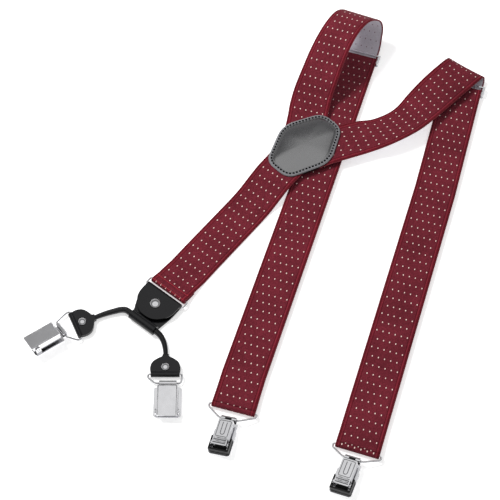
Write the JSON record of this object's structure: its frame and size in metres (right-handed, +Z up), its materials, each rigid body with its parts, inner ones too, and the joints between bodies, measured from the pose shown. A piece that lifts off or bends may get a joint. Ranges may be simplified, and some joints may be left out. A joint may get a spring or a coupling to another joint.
{
  "type": "suspenders",
  "caption": "Clip-on suspenders: looped elastic straps meeting at a leather yoke, sliding adjusters, and a leather cord that carries the back clips.",
  "frame": {"origin": "centre of the bounding box at the height of the table the suspenders lie on", "axes": "+Y towards the two shoulder loops, -Y towards the front clips, +Z up out of the table"},
  "size_m": [0.3902, 0.4531, 0.0434],
  "materials": {
    "webbing": "woven elastic",
    "leather": "satin black",
    "nickel": "bright nickel plate",
    "plastic": "black matte"
  },
  "bodies": {
    "straps": {"patch_front_leather": "leather", "patch_back_leather": "leather", "shoulder_strap_left": "webbing", "shoulder_strap_right": "webbing", "strap_return_left": "webbing", "strap_return_right": "webbing", "back_strap": "webbing"},
    "adjuster_left": {"adjuster_frame_left": "nickel", "adjuster_bar_left": "nickel"},
    "adjuster_right": {"adjuster_frame_right": "nickel", "adjuster_bar_right": "nickel"},
    "ring": {"back_ring": "nickel"},
    "tab": {"back_tab_leather": "leather", "back_tab_rivet": "nickel", "leather_cord": "leather", "leather_end_back_left": "leather", "leather_end_rivet_back_left": "nickel", "leather_end_back_right": "leather", "leather_end_rivet_back_right": "nickel"},
    "bail_front_left": {"bail_front_left": "nickel"},
    "clip_front_left": {"clip_base_front_left": "nickel", "clip_grip_front_left": "plastic", "clip_pin_front_left": "nickel"},
    "lever_front_left": {"clip_lever_front_left": "nickel"},
    "bail_front_right": {"bail_front_right": "nickel"},
    "clip_front_right": {"clip_base_front_right": "nickel", "clip_grip_front_right": "plastic", "clip_pin_front_right": "nickel"},
    "lever_front_right": {"clip_lever_front_right": "nickel"},
    "bail_back_left": {"bail_back_left": "nickel"},
    "clip_back_left": {"clip_base_back_left": "nickel", "clip_grip_back_left": "plastic", "clip_pin_back_left": "nickel"},
    "lever_back_left": {"clip_lever_back_left": "nickel"},
    "bail_back_right": {"bail_back_right": "nickel"},
    "clip_back_right": {"clip_base_back_right": "nickel", "clip_grip_back_right": "plastic", "clip_pin_back_right": "nickel"},
    "lever_back_right": {"clip_lever_back_right": "nickel"}
  },
  "joints": [
    {"name": "adjuster_left_slide", "type": "slide", "parent": "straps", "child": "adjuster_left", "axis": [-0.3057, -0.9521, 0], "range_m": [0, 0.12], "deforming": ["strap_return_left"]},
    {"name": "adjuster_right_slide", "type": "slide", "parent": "straps", "child": "adjuster_right", "axis": [-0.2773, -0.9608, 0], "range_m": [0, 0.12], "deforming": ["strap_return_right"]},
    {"name": "ring_hinge", "type": "hinge", "parent": "straps", "child": "ring", "pos_m": [-0.0806, -0.0494, 0.0034], "axis": [-0.7826, 0.6225, 0], "range_deg": [0, 60]},
    {"name": "tab_hinge", "type": "hinge", "parent": "ring", "child": "tab", "pos_m": [-0.08458, -0.05441, 0.0034], "axis": [-0.7826, 0.6225, 0], "range_deg": [0, 45]},
    {"name": "bail_front_left_hinge", "type": "hinge", "parent": "straps", "child": "bail_front_left", "pos_m": [-0.0275, -0.1543, 0.0035], "axis": [-0.9622, 0.2723, 0], "range_deg": [0, 90]},
    {"name": "clip_front_left_hinge", "type": "hinge", "parent": "bail_front_left", "child": "clip_front_left", "pos_m": [-0.03081, -0.16344, 0.0041], "axis": [-0.9407, 0.2804, -0.1908], "range_deg": [0, 45]},
    {"name": "lever_front_left_hinge", "type": "hinge", "parent": "clip_front_left", "child": "lever_front_left", "pos_m": [-0.03771, -0.18497, 0.00646], "axis": [0.9407, -0.2804, 0.1908], "range_deg": [0, 70]},
    {"name": "bail_front_right_hinge", "type": "hinge", "parent": "straps", "child": "bail_front_right", "pos_m": [0.0678, -0.1886, 0.0035], "axis": [-0.9527, 0.304, 0], "range_deg": [0, 90]},
    {"name": "clip_front_right_hinge", "type": "hinge", "parent": "bail_front_right", "child": "clip_front_right", "pos_m": [0.06385, -0.19637, 0.0041], "axis": [-0.9089, 0.3709, -0.1908], "range_deg": [0, 45]},
    {"name": "lever_front_right_hinge", "type": "hinge", "parent": "clip_front_right", "child": "lever_front_right", "pos_m": [0.05489, -0.21712, 0.00646], "axis": [0.9089, -0.3709, 0.1908], "range_deg": [0, 70]},
    {"name": "bail_back_left_hinge", "type": "hinge", "parent": "tab", "child": "bail_back_left", "pos_m": [-0.1549, -0.0813, 0.0029], "axis": [-0.4179, 0.9085, 0], "range_deg": [0, 90]},
    {"name": "clip_back_left_hinge", "type": "hinge", "parent": "bail_back_left", "child": "clip_back_left", "pos_m": [-0.16547, -0.08704, 0.0059], "axis": [-0.5277, 0.7912, -0.309], "range_deg": [0, 45]},
    {"name": "lever_back_left_hinge", "type": "hinge", "parent": "clip_back_left", "child": "lever_back_left", "pos_m": [-0.18668, -0.1003, 0.00818], "axis": [0.5277, -0.7912, 0.309], "range_deg": [0, 50]},
    {"name": "bail_back_right_hinge", "type": "hinge", "parent": "tab", "child": "bail_back_right", "pos_m": [-0.0816, -0.1247, 0.0029], "axis": [-1, 0, 0], "range_deg": [0, 90]},
    {"name": "clip_back_right_hinge", "type": "hinge", "parent": "bail_back_right", "child": "clip_back_right", "pos_m": [-0.0792, -0.1323, 0.0024], "axis": [-1, 0, 0], "range_deg": [0, 45]},
    {"name": "lever_back_right_hinge", "type": "hinge", "parent": "clip_back_right", "child": "lever_back_right", "pos_m": [-0.0792, -0.1573, 0.0048], "axis": [1, 0, 0], "range_deg": [0, 50]}
  ]
}
